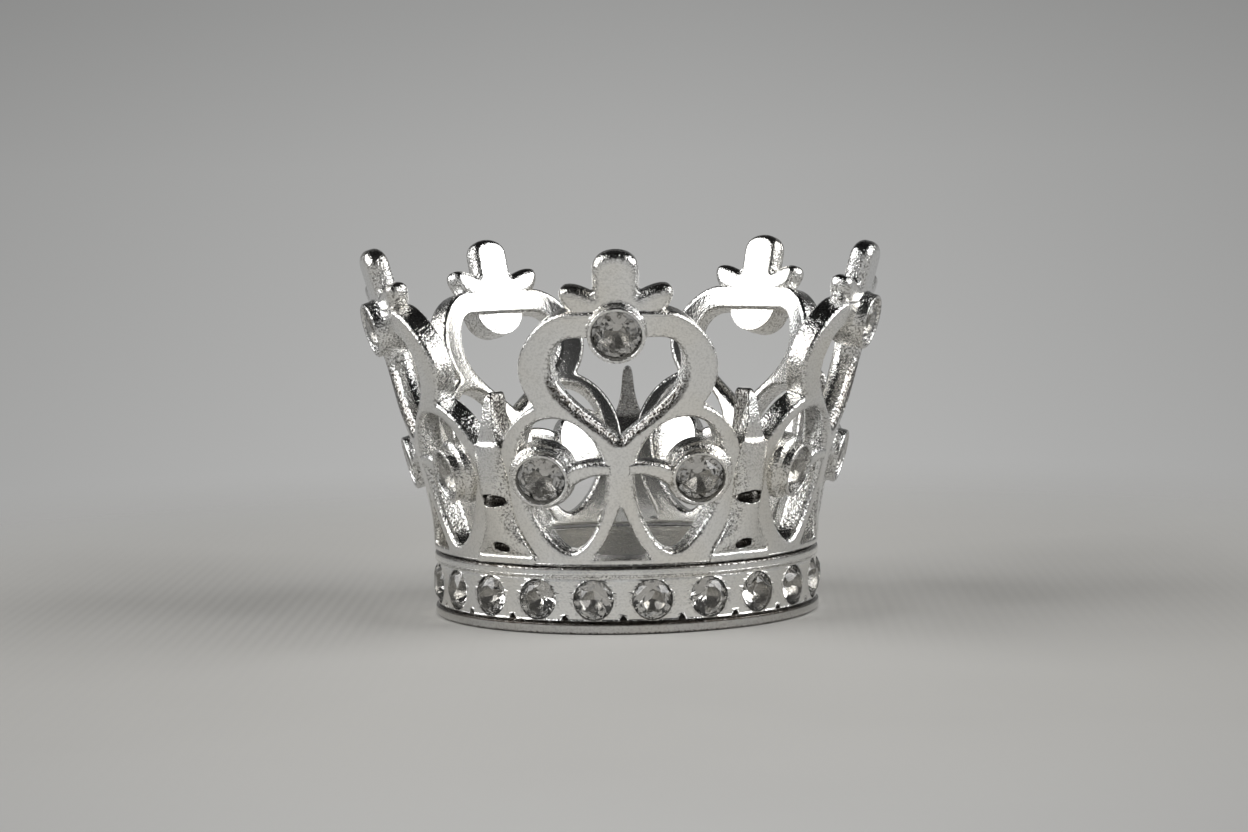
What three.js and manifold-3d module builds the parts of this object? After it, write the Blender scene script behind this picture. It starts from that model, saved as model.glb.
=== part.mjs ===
// A miniature standing crown: a round base band, five pierced heart panels bent to a flared
// wall, five upright posts between them, and faceted stones in seats and cups.
// Millimetres, +Z up, with the first heart facing -Y. The parts are made around the ring's
// axis, and the finished crown is then moved so that the origin is the middle of its outer
// box, on the plane that it stands on.
import * as THREE from "three";
import { TessellateModifier } from "three/addons/modifiers/TessellateModifier.js";
import { mergeVertices } from "three/addons/utils/BufferGeometryUtils.js";
import Module from "manifold-3d";

const wasm = await Module();
wasm.setup();

// ---- Driving dimensions ----

// The wall: a short upright foot that blends into a steady flare
const WALL_RADIUS = 14.7; // outer radius of the foot
const FLARE_SLOPE = 0.29; // outward run for each mm of height
const FLARE_HEIGHT = 6.9; // where the flare would start without its blend
const FLARE_BLEND = 2.2; // softness of that bend
const PLATE = 2; // thickness of the heart panels, square to the wall

// The base band
const BAND_HEIGHT = 5;
const BAND_WALL = 2; // thickness at the rims
const RIM_HEIGHT = 0.75; // of each of the two rims
const FIELD_DEPTH = 0.3; // how far the field between the rims lies back

// Points of the crown
const HEART_COUNT = 5;
const SHIFT_X = 5.9; // side cup and egg-shaped loop, from the heart's centre line
const LOOP_REACH = 3.75; // from there to the loop's outermost edge
const LOOP_WIDEST_Z = 12;
const SIDE_CUP_Z = 11.7;
const HEART_CUP_Z = 22.4;
const TIP_Z = 28.05; // top of the leaf tablet's face
const TABLET_HALF = 1.75; // half the tablet's width
const CREST_SET_BACK = 0.2; // of the wings and tablet, from the wall's outer face
const LEDGE_HEIGHT = 0.52; // of the ledge along a panel's foot
const LEDGE_SET_BACK = 0.1; // from the wall's outer face

// Stones, each a chaton: table, crown, girdle and pavilion
const BAND_STONE_COUNT = 21;
const BAND_STONE = 2.9; // diameter
const SIDE_STONE = 3.5;
const HEART_STONE = 3.55;
const BAND_STONE_Z = 2.54;
const BAND_TABLE_PROUD = 0.06; // how far a band stone's table stands out, for each mm across
const TABLE_SHARE = 0.55; // table diameter for each mm of stone diameter
const CROWN_SHARE = 0.17; // height of the crown
const GIRDLE_SHARE = 0.05; // height of the girdle
const PAVILION_SHARE = 0.36; // depth of the pavilion
const STONE_SIDES = 10;

// Cups
const CUP_WALL = 0.34; // metal around a stone
const CUP_RISE = 0.75; // how far a cup's rim stands out from the wall
const SIDE_CUP_TURN = THREE.MathUtils.degToRad(7); // from the heart's own direction
const CUP_DEPTH = 1.6; // how far a cup's body reaches back into the panel
const CUP_SIDES = 16;

// The posts between the hearts
const POST_HALF = 1.27; // half the width of the shield plate
const COLUMN_HALF = 1.05; // half the width of the column under it
const SPUR_HALF = 0.46; // half the width of the spur leaf
const SPUR_TIP_Z = 17.9;
const POST_CORE = 0.9; // narrowest the post gets between two loops
const POST_LAP = 0.6; // least that the shield plate laps over each loop
const POST_FOOT_HALF = POST_HALF + 0.25;

// Clearances
const SEAM = 0.08; // between soldered pieces
const STONE_GAP = 0.05; // between a stone and its seat

// Fineness of the mesh
const CURVE_STEPS = 5; // on each curved stretch of an outline
const BEND_STEP = 3.6; // longest edge before a flat piece is bent
const BAND_SIDES = 63;

// ---- Materials ----

const silver = new THREE.MeshStandardMaterial({ color: 0xc9c8c6, roughness: 0.16, metalness: 1 });
const crystal = new THREE.MeshStandardMaterial({ color: 0xd9dde2, roughness: 0.05, metalness: 0.2 });

// ---- The wall's shape ----

// Outer radius of the wall at a height.
function wallRadius(z) {
  const above = z - FLARE_HEIGHT;
  return WALL_RADIUS + (FLARE_SLOPE / 2) * (above + Math.hypot(above, FLARE_BLEND));
}

// Angle of the wall from upright at a height.
function wallLean(z) {
  const above = z - FLARE_HEIGHT;
  return Math.atan((FLARE_SLOPE / 2) * (1 + above / Math.hypot(above, FLARE_BLEND)));
}

const HALF_PITCH = Math.PI / HEART_COUNT;
const PANEL_FOOT_Z = BAND_HEIGHT + SEAM;

// Arc length from a heart's centre line to the middle of the post beside it.
const valleyX = (z) => HALF_PITCH * wallRadius(z);

// ---- Helpers ----

// A closed solid from a geometry whose triangles share positions.
function solidFrom(geometry) {
  const bare = geometry.clone();
  bare.deleteAttribute("normal");
  bare.deleteAttribute("uv");
  const merged = mergeVertices(bare, 1e-4);
  return new wasm.Manifold(
    new wasm.Mesh({
      numProp: 3,
      vertProperties: Float32Array.from(merged.attributes.position.array),
      triVerts: Uint32Array.from(merged.index.array),
    }),
  );
}

function geometryFrom(solid) {
  const mesh = solid.getMesh();
  const geometry = new THREE.BufferGeometry();
  geometry.setAttribute("position", new THREE.BufferAttribute(mesh.vertProperties, 3));
  geometry.setIndex(new THREE.BufferAttribute(mesh.triVerts, 1));
  geometry.computeVertexNormals();
  return geometry;
}

function meshOf(name, solid, material) {
  const mesh = new THREE.Mesh(geometryFrom(solid), material);
  mesh.name = name;
  return mesh;
}

// Points along an outline: the path starts at `start`, and each stretch is the end of a
// straight line [x, z] or a curve's two handles and end [x1, z1, x2, z2, x, z].
function outline(start, stretches) {
  const path = new THREE.Path().moveTo(...start);
  for (const stretch of stretches) {
    if (stretch.length === 2) path.lineTo(...stretch);
    else path.bezierCurveTo(...stretch);
  }
  return path.getPoints(CURVE_STEPS);
}

const mirrored = (points) => points.map((p) => new THREE.Vector2(-p.x, p.y)).reverse();

// A flat pattern (x along the wall, y up) made solid between two depths from the wall's
// outer face, then bent to the wall around the crown's axis. Its depth stays square to the
// leaning wall.
function bentSheet(shape, inner, outer) {
  const slab = new THREE.ExtrudeGeometry(shape, { depth: outer - inner, bevelEnabled: false });
  slab.translate(0, 0, inner);
  const fine = new TessellateModifier(BEND_STEP, 12).modify(slab);
  const place = fine.attributes.position;
  for (let i = 0; i < place.count; i++) {
    const z = place.getY(i);
    const depth = place.getZ(i);
    const angle = place.getX(i) / wallRadius(z);
    const radius = wallRadius(z) + depth * Math.cos(wallLean(z));
    const height = z - depth * Math.sin(wallLean(z));
    place.setXYZ(i, radius * Math.sin(angle), -radius * Math.cos(angle), height);
  }
  return solidFrom(fine);
}

// Turns a solid made about +Z, with z = 0 on the wall's outer face, so that it points
// outwards at arc length x and height z of the first heart's wall.
function onWall(solid, x, z, turn) {
  const angle = x / wallRadius(z);
  const place = new THREE.Matrix4().makeTranslation(
    wallRadius(z) * Math.sin(angle),
    -wallRadius(z) * Math.cos(angle),
    z,
  );
  place.multiply(new THREE.Matrix4().makeRotationZ(turn));
  place.multiply(new THREE.Matrix4().makeRotationX(Math.PI / 2 + wallLean(z)));
  return solid.transform(place.elements);
}

// The same solid a number of hearts further round.
function around(solid, angle) {
  return solid.transform(new THREE.Matrix4().makeRotationZ(angle).elements);
}

// A solid of revolution about +Z from a profile of [radius, height] that ends on the axis.
function turned(profile, sides) {
  const points = profile.map(([r, h]) => new THREE.Vector2(r, h));
  const lathe = new THREE.LatheGeometry(points, sides);
  lathe.rotateX(Math.PI / 2);
  return solidFrom(lathe);
}

// ---- Stones and what they sit in ----

// A faceted stone about +Z with its table at height `table`.
function stone(diameter, table) {
  const girdle = diameter / 2;
  const crownFoot = table - CROWN_SHARE * diameter;
  const girdleFoot = crownFoot - GIRDLE_SHARE * diameter;
  const culet = girdleFoot - PAVILION_SHARE * diameter;
  return turned(
    [
      [0, culet],
      [girdle, girdleFoot],
      [girdle, crownFoot],
      [girdle * TABLE_SHARE, table],
      [0, table],
    ],
    STONE_SIDES,
  );
}

// The hollow that takes the stone: its lower half with a gap all round, open at the top.
function seat(diameter, table) {
  const radius = diameter / 2 / Math.cos(Math.PI / STONE_SIDES) + STONE_GAP;
  const shelf = table - (CROWN_SHARE + GIRDLE_SHARE) * diameter - STONE_GAP;
  const culet = shelf - PAVILION_SHARE * diameter - STONE_GAP;
  return turned(
    [
      [0, culet],
      [radius, shelf],
      [radius, table + diameter],
      [0, table + diameter],
    ],
    STONE_SIDES,
  );
}

const cupRadius = (diameter) => diameter / 2 + CUP_WALL;

// A cup's round body through the panel, out to its rim.
function cup(diameter, extra = 0) {
  const radius = cupRadius(diameter) + extra;
  return turned(
    [
      [0, -CUP_DEPTH],
      [radius, -CUP_DEPTH],
      [radius, CUP_RISE + extra],
      [0, CUP_RISE + extra],
    ],
    CUP_SIDES,
  );
}

// ---- Base band ----

function baseBand() {
  const outer = wallRadius(BAND_HEIGHT);
  const inner = outer - BAND_WALL;
  const field = outer - FIELD_DEPTH;
  const rimEdge = RIM_HEIGHT * 0.3;
  const profile = [
    [inner, 0],
    [outer - rimEdge, 0],
    [outer, rimEdge],
    [outer, RIM_HEIGHT],
    [field, RIM_HEIGHT + FIELD_DEPTH],
    [field, BAND_HEIGHT - RIM_HEIGHT - FIELD_DEPTH],
    [outer, BAND_HEIGHT - RIM_HEIGHT],
    [outer, BAND_HEIGHT - rimEdge],
    [outer - rimEdge, BAND_HEIGHT],
    [inner, BAND_HEIGHT],
    [inner, 0],
  ];
  let band = turned(profile, BAND_SIDES);
  for (const angle of bandAngles()) band = band.subtract(onBand(seat(BAND_STONE, 0), angle));
  return band;
}

// The band's stones straddle the first heart's centre line.
function bandAngles() {
  const step = (2 * Math.PI) / BAND_STONE_COUNT;
  return Array.from({ length: BAND_STONE_COUNT }, (_, i) => (i + 0.5) * step);
}

// A solid made about +Z, with its table at 0, laid on the band and turned to an angle.
function onBand(solid, angle) {
  const tableRadius = wallRadius(BAND_HEIGHT) + BAND_TABLE_PROUD * BAND_STONE;
  const place = new THREE.Matrix4().makeRotationZ(angle);
  place.multiply(new THREE.Matrix4().makeTranslation(0, -tableRadius, BAND_STONE_Z));
  place.multiply(new THREE.Matrix4().makeRotationX(Math.PI / 2));
  return solid.transform(place.elements);
}

// ---- Heart panel ----

// Outer edge of the egg-shaped loop beside the post, from the band up to the heart.
const loopEdge = () =>
  outline(
    [SHIFT_X + 0.3, PANEL_FOOT_Z],
    [
      [SHIFT_X + 1.7, 6.6, SHIFT_X + LOOP_REACH, 9.4, SHIFT_X + LOOP_REACH, LOOP_WIDEST_Z],
      [SHIFT_X + LOOP_REACH, 14.6, SHIFT_X + 2.3, 16.2, SHIFT_X + 0.5, 16.9],
    ],
  );

// Keeps a panel's point clear of the post's core.
const clearOfPost = (p) =>
  new THREE.Vector2(Math.min(p.x, valleyX(p.y) - POST_CORE / 2 - SEAM), p.y);

// Half of the panel's outer edge: arm, loop and heart.
function panelEdge() {
  const arm = outline([0, 9.56], [[0.45, 8.4, 1.2, 6.4, 2.2, PANEL_FOOT_Z]]);
  const top = outline(
    [SHIFT_X + 0.5, 16.9],
    [
      [7.2, 17.8, 7.6, 18.8, 7.6, 19.7],
      [7.6, 21.6, 5.6, 23.7, 3.7, 23.85],
      [0, 23.95],
    ],
  );
  return [...arm, ...loopEdge().map(clearOfPost), ...top.slice(1)];
}

// Half of the crest behind the heart's cup: a wing and the upright tablet.
const crestEdge = () =>
  outline(
    [0, 22.6],
    [
      [1.6, 22.8],
      [3.6, 23.7],
      [4.1, 24.1, 4.7, 25.2, 4, 25.55],
      [3.3, 25.75, 2.4, 25.35, TABLET_HALF, 25.05],
      [TABLET_HALF, TIP_Z - 1.3],
      [TABLET_HALF, TIP_Z - 0.4, 0.9, TIP_Z, 0, TIP_Z],
    ],
  );

const heartHole = () =>
  outline(
    [0, 14.47],
    [
      [2.2, 16.2, 5.05, 17.9, 5.05, 19.8],
      [5.05, 21.1, 4.3, 21.95, 3.2, 21.95],
      [0, 21.95],
    ],
  );

const loopHole = () =>
  outline(
    [SHIFT_X - 2, 6.1],
    [
      [SHIFT_X - 0.6, 6.1, SHIFT_X + 2, 9.6, SHIFT_X + 2, 12.3],
      [SHIFT_X + 2, 15, SHIFT_X + 0.8, 16, SHIFT_X - 1, 16],
      [SHIFT_X - 3, 16, SHIFT_X - 4.82, 13.9, SHIFT_X - 4.82, 11.5],
      [SHIFT_X - 4.82, 9, SHIFT_X - 3.5, 6.1, SHIFT_X - 2, 6.1],
    ],
  );

// The curled leaf from a side cup to the stem.
const leafEdge = () =>
  outline(
    [0.7, 12.5],
    [
      [1.2, 11.5, 2.7, 12, SHIFT_X - 2.1, 10.9],
      [SHIFT_X - 1.6, 12.4],
      [3, 13.5, 1.4, 13.5, 0.7, 12.5],
    ],
  );

// The low ledge along the panel's foot, from post to post. A post is flat-sided, so the
// ledge ends where it meets the post's inner corner.
function ledgeEdge() {
  const outer = wallRadius(PANEL_FOOT_Z);
  const corner = (POST_FOOT_HALF * outer) / (outer - PLATE);
  const half = valleyX(PANEL_FOOT_Z) - corner - SEAM;
  const top = PANEL_FOOT_Z + LEDGE_HEIGHT;
  return outline([-half, PANEL_FOOT_Z], [[half, PANEL_FOOT_Z], [half, top], [-half, top]]);
}

function heartPanel() {
  const right = panelEdge();
  const shape = new THREE.Shape([...right, ...mirrored(right).slice(1, -1)]);
  const heart = heartHole();
  shape.holes.push(new THREE.Path([...heart, ...mirrored(heart).slice(1, -1)]));
  const loop = loopHole().slice(0, -1);
  shape.holes.push(new THREE.Path(loop), new THREE.Path(mirrored(loop)));
  let panel = bentSheet(shape, -PLATE, 0);
  const crest = crestEdge();
  const wings = new THREE.Shape([...crest, ...mirrored(crest).slice(1, -1)]);
  panel = panel.add(bentSheet(wings, -PLATE, -CREST_SET_BACK));
  const leaf = leafEdge().slice(0, -1);
  panel = panel.add(bentSheet(new THREE.Shape(leaf), -PLATE * 0.7, 0.15));
  panel = panel.add(bentSheet(new THREE.Shape(mirrored(leaf)), -PLATE * 0.7, 0.15));
  panel = panel.add(bentSheet(new THREE.Shape(ledgeEdge()), -PLATE, -LEDGE_SET_BACK));
  for (const place of cupPlaces()) panel = panel.add(onWall(cup(place.stone), ...place.at));
  for (const place of cupPlaces()) {
    panel = panel.subtract(onWall(seat(place.stone, CUP_RISE), ...place.at));
  }
  return panel;
}

// Each cup's stone, with its arc length, height and turn on the first heart.
const cupPlaces = () => [
  { name: "heart_stone", stone: HEART_STONE, at: [0, HEART_CUP_Z, 0] },
  { name: "side_stone_left", stone: SIDE_STONE, at: [-SHIFT_X, SIDE_CUP_Z, -SIDE_CUP_TURN] },
  { name: "side_stone_right", stone: SIDE_STONE, at: [SHIFT_X, SIDE_CUP_Z, SIDE_CUP_TURN] },
];

// ---- Post between two hearts ----

// The post stands upright, facing -Y, before it is turned to its place. Its shield plate is
// wide enough to lap over the loops on both sides.
function valleyPost() {
  const gap = valleyX(LOOP_WIDEST_Z) - SHIFT_X - LOOP_REACH;
  const shield = Math.max(POST_HALF, gap + POST_LAP);
  const half = outline(
    [0, SPUR_TIP_Z],
    [
      [SPUR_HALF * 0.8, SPUR_TIP_Z, SPUR_HALF, 17.3, SPUR_HALF, 16.4],
      [SPUR_HALF + 0.14, 15.1, shield, 14.9, shield, 14],
      [shield, 10.4],
      [COLUMN_HALF, 9.9],
      [COLUMN_HALF, PANEL_FOOT_Z + 2.3],
      [POST_FOOT_HALF, PANEL_FOOT_Z],
    ],
  );
  const front = new THREE.ExtrudeGeometry(new THREE.Shape([...half, ...mirrored(half).slice(0, -1)]), {
    depth: 3 * PLATE,
    bevelEnabled: false,
  });
  front.rotateX(Math.PI / 2);
  front.translate(0, -wallRadius(BAND_HEIGHT) + 1.5 * PLATE, 0);

  // Seen from the side: how far each height stands out from the wall, foot to tip
  const face = [
    [PANEL_FOOT_Z, 0],
    [PANEL_FOOT_Z + 0.9, 0.05],
    [PANEL_FOOT_Z + 1.7, -0.5],
    [PANEL_FOOT_Z + 2.1, 0.85],
    [9.3, 0.75],
    [10.1, -0.1],
    [10.3, 0.95],
    [12, 0.6],
    [14, 0.05],
    [15.2, -0.35],
    [17, -1],
    [SPUR_TIP_Z, -1.7],
  ];
  const back = [SPUR_TIP_Z, 16.5, 14.5, 12, 9.5, 7, PANEL_FOOT_Z];
  const side = new THREE.Shape([
    ...face.map(([z, rise]) => new THREE.Vector2(wallRadius(z) + rise, z)),
    ...back.map((z) => new THREE.Vector2(wallRadius(Math.min(z, 14)) - PLATE, z)),
  ]);
  const profile = new THREE.ExtrudeGeometry(side, { depth: 4 * PLATE, bevelEnabled: false });
  profile.translate(0, 0, -2 * PLATE);
  profile.rotateX(Math.PI / 2);
  profile.rotateZ(-Math.PI / 2);
  return solidFrom(front).intersect(solidFrom(profile));
}

// What the post must keep clear of on one heart: the loops' bodies and the side cups.
function panelClearance() {
  const edge = loopEdge().map(clearOfPost);
  const grown = edge.map((p) => new THREE.Vector2(p.x + SEAM, p.y));
  const tail = [new THREE.Vector2(SHIFT_X, 18), new THREE.Vector2(SHIFT_X - 3, 18)];
  const head = [new THREE.Vector2(SHIFT_X - 3, 0), new THREE.Vector2(SHIFT_X + 0.3 + SEAM, 0)];
  const right = [...head, ...grown, ...tail];
  let keep = bentSheet(new THREE.Shape(right), -PLATE - SEAM, SEAM);
  keep = keep.add(bentSheet(new THREE.Shape(mirrored(right)), -PLATE - SEAM, SEAM));
  for (const place of cupPlaces().slice(1)) {
    keep = keep.add(onWall(cup(place.stone, SEAM), ...place.at));
  }
  return keep;
}

// ---- Assembly ----

const crown = new THREE.Group();
crown.add(meshOf("base_band", baseBand(), silver));
bandAngles().forEach((angle, i) => {
  const name = `band_stone_${String(i + 1).padStart(2, "0")}`;
  crown.add(meshOf(name, onBand(stone(BAND_STONE, 0), angle), crystal));
});

const panel = heartPanel();
const clearance = panelClearance();
const bare = around(valleyPost(), HALF_PITCH);
const post = bare.subtract(clearance).subtract(around(clearance, 2 * HALF_PITCH));
for (let i = 0; i < HEART_COUNT; i++) {
  const angle = 2 * HALF_PITCH * i;
  crown.add(meshOf(`heart_panel_${i + 1}`, around(panel, angle), silver));
  crown.add(meshOf(`valley_post_${i + 1}`, around(post, angle), silver));
  for (const place of cupPlaces()) {
    const set = onWall(stone(place.stone, CUP_RISE), ...place.at);
    crown.add(meshOf(`${place.name}_${i + 1}`, around(set, angle), crystal));
  }
}

const reach = new THREE.Box3().setFromObject(crown, true);
crown.position.y = -(reach.min.y + reach.max.y) / 2;

const part = new THREE.Group();
part.add(crown);
export default part;
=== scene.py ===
"""Builds the looks of a small silver-plated crown: a stone-set base band, five heart panels
with three stones each, and the posts between them, on a plain pale floor.

Pieces are shaped in millimetres around the ring's axis, with the first heart facing -Y, and
are brought to metres and to their place at the end.
"""

import math

import bpy
import numpy as np
from mathutils import Matrix, Vector


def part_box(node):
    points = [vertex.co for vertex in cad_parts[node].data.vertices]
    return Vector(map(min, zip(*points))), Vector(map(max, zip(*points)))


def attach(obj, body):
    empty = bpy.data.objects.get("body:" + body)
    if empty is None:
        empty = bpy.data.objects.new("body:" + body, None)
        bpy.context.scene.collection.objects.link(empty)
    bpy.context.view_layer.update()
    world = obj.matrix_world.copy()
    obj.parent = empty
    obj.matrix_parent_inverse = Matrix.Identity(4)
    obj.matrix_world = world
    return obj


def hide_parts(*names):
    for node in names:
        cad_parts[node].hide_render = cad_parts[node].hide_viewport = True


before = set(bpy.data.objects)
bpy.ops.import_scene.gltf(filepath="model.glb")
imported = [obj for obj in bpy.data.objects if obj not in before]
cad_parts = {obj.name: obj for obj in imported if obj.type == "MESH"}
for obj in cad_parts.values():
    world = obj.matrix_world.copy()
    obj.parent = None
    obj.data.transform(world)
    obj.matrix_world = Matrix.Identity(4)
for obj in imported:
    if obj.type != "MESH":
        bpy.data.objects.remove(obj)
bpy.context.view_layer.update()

bl_info = {
    "name": "Heart Crown",
    "version": (1, 0, 0),
    "blender": (4, 5, 0),
    "location": "View3D > Sidebar > Crown",
    "description": "Builds a stone-set crown of heart panels with its studio",
    "category": "Add Mesh",
}

MM = 0.001
HEARTS = 5
PITCH = 2 * math.pi / HEARTS
BAND_STONES = 21
RING_LOW, RING_HIGH = (Vector(corner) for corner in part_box("base_band"))
RING_AXIS = Vector(((RING_LOW.x + RING_HIGH.x) / 2, (RING_LOW.y + RING_HIGH.y) / 2, 0))

# ---- Settings ----


def length(name, description, default_mm):
    """A size property, kept in metres."""
    return bpy.props.FloatProperty(
        name=name, description=description, default=default_mm * MM, min=0.0,
        precision=5, unit="LENGTH",
    )


def colour(name, description, default):
    """A colour property with alpha."""
    return bpy.props.FloatVectorProperty(
        name=name, description=description, default=default, size=4, min=0.0, max=1.0,
        subtype="COLOR",
    )


class CrownWallSettings(bpy.types.PropertyGroup):
    """Sizes of the flared wall that all the pieces follow."""

    radius: length("Wall Radius", "Outer radius of the wall below its flare", 14.7)
    flare_height: length("Flare Height", "Height at which the wall starts to lean out", 6.9)
    flare_blend: length("Flare Blend", "Softness of the bend into the flare", 2.2)
    plate: length("Plate Thickness", "Thickness of the heart panels", 2.0)
    band_height: length("Band Height", "Height of the base band", 5.0)
    band_wall: length("Band Thickness", "Thickness of the base band at its rims", 2.0)
    flare_slope: bpy.props.FloatProperty(
        name="Flare Slope", description="How far the wall leans out for each unit of height",
        default=0.29, min=0.0, max=1.0,
    )


class CrownStoneSettings(bpy.types.PropertyGroup):
    """Sizes of the stones and of their cups."""

    band: length("Band Stone", "Diameter of the stones around the band", 2.9)
    side: length("Side Stone", "Diameter of the stones beside each heart", 3.5)
    heart: length("Heart Stone", "Diameter of the stone on top of each heart", 3.55)
    cup_rise: length("Cup Rise", "How far a cup stands out from the wall", 0.75)
    cup_wall: length("Cup Wall", "Thickness of a cup's wall", 0.34)
    band_height: length("Band Stone Height", "Height of the band stones' centres", 2.54)


class CrownFinishSettings(bpy.types.PropertyGroup):
    """Colours and polish of the metal and the stones."""

    silver: colour("Silver", "Colour of the silver plating", (0.97, 0.97, 0.96, 1.0))
    warm_silver: colour("Warm Silver", "Colour of its warmer patches", (0.95, 0.93, 0.88, 1.0))
    polish: bpy.props.FloatProperty(
        name="Polish Roughness", description="Roughness of the smooth faces",
        default=0.13, min=0.0, max=1.0, subtype="FACTOR",
    )
    crystal: colour("Crystal", "Tint of the clear stones", (0.64, 0.63, 0.61, 1.0))
    foil: colour("Foil", "Colour of the mirror foil behind the stones", (0.7, 0.7, 0.7, 1.0))


class CrownStageSettings(bpy.types.PropertyGroup):
    """Floor, surroundings, lights and camera."""

    floor: colour("Floor", "Colour of the pale floor", (0.6, 0.59, 0.565, 1.0))
    backdrop: colour("Backdrop", "Colour of the surroundings at eye level", (0.43, 0.43, 0.425, 1.0))
    light_power: bpy.props.FloatProperty(
        name="Light Power", description="Power of each soft light", default=2.0, min=0.0,
        unit="POWER",
    )
    camera_distance: length("Camera Distance", "From the ring's axis to the lens", 255.0)
    camera_height: length("Camera Height", "Height of the lens above the floor", 34.63)
    focal_length: bpy.props.FloatProperty(
        name="Focal Length", description="Focal length of the lens in millimetres",
        default=95.24, min=1.0,
    )


def wall():
    """The wall's sizes."""
    return bpy.context.scene.crown_wall


def stones():
    """The stones' sizes."""
    return bpy.context.scene.crown_stones


def finish():
    """The finishes."""
    return bpy.context.scene.crown_finish


# ---- The wall's shape, in millimetres ----


def wall_radius(z):
    """Outer radius of the wall at a height or at an array of heights."""
    w = wall()
    above = z - w.flare_height / MM
    return w.radius / MM + w.flare_slope / 2 * (above + np.hypot(above, w.flare_blend / MM))


def wall_lean(z):
    """Angle of the wall from upright."""
    w = wall()
    above = z - w.flare_height / MM
    return np.arctan(w.flare_slope / 2 * (1 + above / np.hypot(above, w.flare_blend / MM)))


def on_wall(x, z, turn=0.0):
    """Matrix that lays a piece made about +Z on the first heart's wall, pointing outwards."""
    radius = float(wall_radius(z))
    angle = x / radius
    spot = Matrix.Translation((radius * math.sin(angle), -radius * math.cos(angle), z))
    tilt = Matrix.Rotation(math.pi / 2 + float(wall_lean(z)), 4, "X")
    return spot @ Matrix.Rotation(turn, 4, "Z") @ tilt


# ---- Modelling helpers ----


def only(*objects):
    """Selects just these objects, the first one active, in object mode."""
    if bpy.context.object and bpy.context.object.mode != "OBJECT":
        bpy.ops.object.mode_set(mode="OBJECT")
    bpy.ops.object.select_all(action="DESELECT")
    for obj in objects:
        obj.select_set(True)
    bpy.context.view_layer.objects.active = objects[0]


def edit_all(obj):
    """Enters edit mode with the whole mesh selected."""
    only(obj)
    bpy.ops.object.mode_set(mode="EDIT")
    bpy.ops.mesh.select_all(action="SELECT")


def leave_edit():
    """Goes back to object mode."""
    bpy.ops.object.mode_set(mode="OBJECT")


def tidy_mesh(obj, distance=1e-3):
    """Merges doubles and turns the faces outwards."""
    edit_all(obj)
    bpy.ops.mesh.remove_doubles(threshold=distance)
    bpy.ops.mesh.normals_make_consistent(inside=False)
    leave_edit()


def new_mesh(name, vertices, edges=(), faces=()):
    """A mesh object in the scene."""
    mesh = bpy.data.meshes.new(name)
    mesh.from_pydata(vertices, edges, faces)
    obj = bpy.data.objects.new(name, mesh)
    bpy.context.scene.collection.objects.link(obj)
    return obj


def use(obj, kind, **values):
    """Adds a modifier with these values and applies it."""
    only(obj)
    modifier = obj.modifiers.new(kind.title(), kind)
    for key, value in values.items():
        setattr(modifier, key, value)
    bpy.ops.object.modifier_apply(modifier=modifier.name)


def combine(obj, tool, operation):
    """Boolean of two closed meshes. The tool is used up."""
    before = len(obj.data.polygons)
    use(obj, "BOOLEAN", operation=operation, object=tool, solver="MANIFOLD")
    if len(obj.data.polygons) == before:
        raise RuntimeError(f"{operation} with {tool.name} left {obj.name} as it was")
    bpy.data.objects.remove(tool)


def joined(objects):
    """One object from several."""
    only(*objects)
    if len(objects) > 1:
        bpy.ops.object.join()
    return objects[0]


def spun(name, profile, steps):
    """Closed body from a profile of [radius, height] spun about +Z."""
    vertices = [(r, 0, h) for r, h in profile]
    edges = [(i, i + 1) for i in range(len(profile) - 1)]
    if profile[0][0] > 0:
        edges.append((len(profile) - 1, 0))
    obj = new_mesh(name, vertices, edges)
    edit_all(obj)
    bpy.ops.mesh.spin(
        steps=steps, angle=2 * math.pi, center=(0, 0, 0), axis=(0, 0, 1), use_auto_merge=False,
    )
    leave_edit()
    tidy_mesh(obj)
    return obj


def coordinates(obj):
    """The mesh's points as an array."""
    flat = np.empty(len(obj.data.vertices) * 3)
    obj.data.vertices.foreach_get("co", flat)
    return flat.reshape(-1, 3)


def set_coordinates(obj, points):
    """Moves the mesh's points."""
    obj.data.vertices.foreach_set("co", points.ravel())
    obj.data.update()


# ---- Outlines ----


def trace(start, stretches, steps=10):
    """Points of an outline: each stretch is a line's end [x, y] or a curve's two handles and
    end [x1, y1, x2, y2, x, y]."""
    points = [Vector(start)]
    for stretch in stretches:
        first = points[-1]
        if len(stretch) == 2:
            points.append(Vector(stretch))
            continue
        one, two, last = Vector(stretch[:2]), Vector(stretch[2:4]), Vector(stretch[4:])
        for i in range(1, steps + 1):
            t = i / steps
            points.append(
                first * (1 - t) ** 3 + one * 3 * t * (1 - t) ** 2
                + two * 3 * t * t * (1 - t) + last * t**3
            )
    return points


def flipped(points):
    """The outline's mirror image in x, running the same way round."""
    return [Vector((-p.x, p.y)) for p in reversed(points)]


def whole(half):
    """Closed outline from its right half, both ends on the centre line."""
    return half + flipped(half)[1:-1]


def turned_way(points, left_handed):
    """The outline running so that the metal lies on its left."""
    area = sum(
        a.x * b.y - b.x * a.y for a, b in zip(points, points[1:] + points[:1])
    )
    return points if (area > 0) == left_handed else list(reversed(points))


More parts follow.
